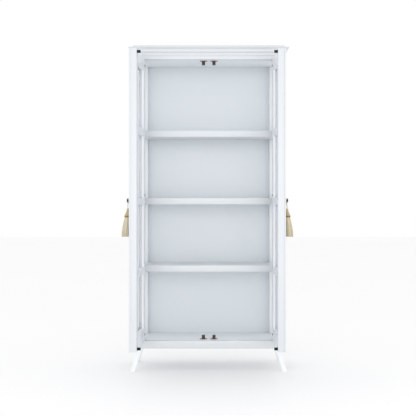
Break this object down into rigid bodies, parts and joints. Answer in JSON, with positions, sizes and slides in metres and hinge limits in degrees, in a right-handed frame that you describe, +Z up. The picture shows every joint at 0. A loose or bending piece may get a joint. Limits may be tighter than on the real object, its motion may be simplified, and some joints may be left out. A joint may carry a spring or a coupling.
{
  "type": "curio cabinet",
  "caption": "Tall white display cabinet on outswept sabre legs, with glazed sides, fixed shelves, a stepped crown, and glazed doors with tasselled knobs.",
  "frame": {"origin": "middle of the footprint on the floor, with the doors standing open", "axes": "+Z up, the front faces -Y, +X to the right seen from the front"},
  "size_m": [1.0016, 0.8254, 2.028],
  "materials": {
    "painted_case": "cool white satin paint on wood",
    "painted_shelves": "cool white satin paint on wood",
    "painted_doors": "cool white satin paint on wood",
    "painted_legs": "cool white satin paint on wood",
    "painted_back": "cool white satin paint on board",
    "glass": "clear float glass",
    "hinge_bronze": "dark bronze",
    "knob_bronze": "dark bronze",
    "tassel_thread": "gold and beige rayon thread",
    "catch_plastic": "dark red-brown plastic",
    "strike_black": "black painted steel"
  },
  "bodies": {
    "case": {"back_panel": "painted_back", "base_rail": "painted_case", "catch_left_bottom": "catch_plastic", "catch_left_top": "catch_plastic", "catch_right_bottom": "catch_plastic", "catch_right_top": "catch_plastic", "ceiling_board": "painted_case", "crown_front": "painted_case", "crown_left": "painted_case", "crown_right": "painted_case", "floor_board": "painted_case", "front_post_left": "painted_case", "front_post_right": "painted_case", "hinge_left_bottom_case_leaf": "hinge_bronze", "hinge_left_middle_case_leaf": "hinge_bronze", "hinge_left_top_case_leaf": "hinge_bronze", "hinge_right_bottom_case_leaf": "hinge_bronze", "hinge_right_middle_case_leaf": "hinge_bronze", "hinge_right_top_case_leaf": "hinge_bronze", "leg_front_left": "painted_legs", "leg_front_right": "painted_legs", "leg_rear_left": "painted_legs", "leg_rear_right": "painted_legs", "rear_post_left": "painted_case", "rear_post_right": "painted_case", "shelf_lower": "painted_shelves", "shelf_middle": "painted_shelves", "shelf_upper": "painted_shelves", "side_frame_left": "painted_case", "side_frame_right": "painted_case", "side_glass_left": "glass", "side_glass_right": "glass", "top_cap": "painted_case", "top_rail": "painted_case"},
    "door_left": {"door_left_bottom_rail": "painted_doors", "door_left_free_stile": "painted_doors", "door_left_glass": "glass", "door_left_glazing_grid": "painted_doors", "door_left_hinge_stile": "painted_doors", "door_left_top_rail": "painted_doors", "hinge_left_bottom_door_leaf": "hinge_bronze", "hinge_left_middle_door_leaf": "hinge_bronze", "hinge_left_top_door_leaf": "hinge_bronze", "knob_left": "knob_bronze", "strike_left_bottom": "strike_black", "strike_left_top": "strike_black"},
    "door_right": {"door_right_bottom_rail": "painted_doors", "door_right_free_stile": "painted_doors", "door_right_glass": "glass", "door_right_glazing_grid": "painted_doors", "door_right_hinge_stile": "painted_doors", "door_right_top_rail": "painted_doors", "hinge_right_bottom_door_leaf": "hinge_bronze", "hinge_right_middle_door_leaf": "hinge_bronze", "hinge_right_top_door_leaf": "hinge_bronze", "knob_right": "knob_bronze", "strike_right_bottom": "strike_black", "strike_right_top": "strike_black"},
    "tassel_left": {"tassel_left": "tassel_thread"},
    "tassel_right": {"tassel_right": "tassel_thread"}
  },
  "joints": [
    {"name": "door_left_hinge", "type": "hinge", "parent": "case", "child": "door_left", "pos_m": [-0.44323, 0.03191, 1.065], "axis": [0, 0, -1], "range_deg": [-92.3, 72.7]},
    {"name": "tassel_left_swing", "type": "hinge", "parent": "door_left", "child": "tassel_left", "pos_m": [-0.4613, -0.38069, 1.063], "axis": [-0.9992, 0.0401, 0], "range_deg": [-30, 2]},
    {"name": "door_right_hinge", "type": "hinge", "parent": "case", "child": "door_right", "pos_m": [0.44877, 0.03191, 1.065], "axis": [0, 0, 1], "range_deg": [-90.3, 74.7]},
    {"name": "tassel_right_swing", "type": "hinge", "parent": "door_right", "child": "tassel_right", "pos_m": [0.45243, -0.38107, 1.063], "axis": [1, 0.0052, 0], "range_deg": [-2, 30]}
  ]
}
